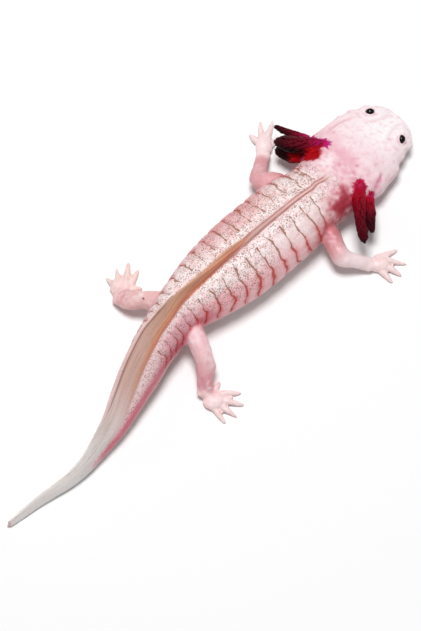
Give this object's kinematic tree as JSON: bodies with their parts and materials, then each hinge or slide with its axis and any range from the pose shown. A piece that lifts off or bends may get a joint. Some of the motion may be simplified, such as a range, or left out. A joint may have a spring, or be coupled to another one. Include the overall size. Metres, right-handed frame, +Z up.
{
  "type": "axolotl figure",
  "caption": "Moulded soft vinyl figure of a pale axolotl standing on its feet, with dark red gill stalks, grooved flanks, a ridged back and a curved tail with a leaning fin.",
  "frame": {"origin": "on the floor under the middle of the figure's box", "axes": "+Z up, +Y from head to tail, the head faces -Y, the animal's left side is at +X"},
  "size_m": [0.088, 0.2314, 0.0294],
  "materials": {
    "skin": "satin painted vinyl, pale pink with red shading",
    "back": "satin painted vinyl, cream with grey-brown speckles and brown grooves",
    "fin": "satin painted vinyl, tan and beige-grey",
    "gill": "satin painted vinyl, magenta to crimson to black",
    "eye": "gloss black"
  },
  "bodies": {
    "root": {"head": "skin", "lower_jaw": "skin", "neck": "skin", "leg_front_left_upper": "skin", "leg_front_left_lower": "skin", "leg_front_right_upper": "skin", "leg_front_right_lower": "skin", "leg_hind_left_upper": "skin", "leg_hind_left_lower": "skin", "leg_hind_right_upper": "skin", "leg_hind_right_lower": "skin", "foot_front_left": "skin", "foot_front_right": "skin", "foot_hind_left": "skin", "foot_hind_right": "skin", "trunk_front": "back", "trunk_rear": "back", "tail_base": "back", "tail_middle": "back", "tail_tip": "back", "back_ridge": "fin", "tail_fin_upper": "fin", "tail_fin_lower": "fin", "gill_left_upper": "gill", "gill_left_middle": "gill", "gill_left_lower": "gill", "gill_right_upper": "gill", "gill_right_middle": "gill", "gill_right_lower": "gill", "eye_left": "eye", "eye_right": "eye"}
  },
  "joints": []
}
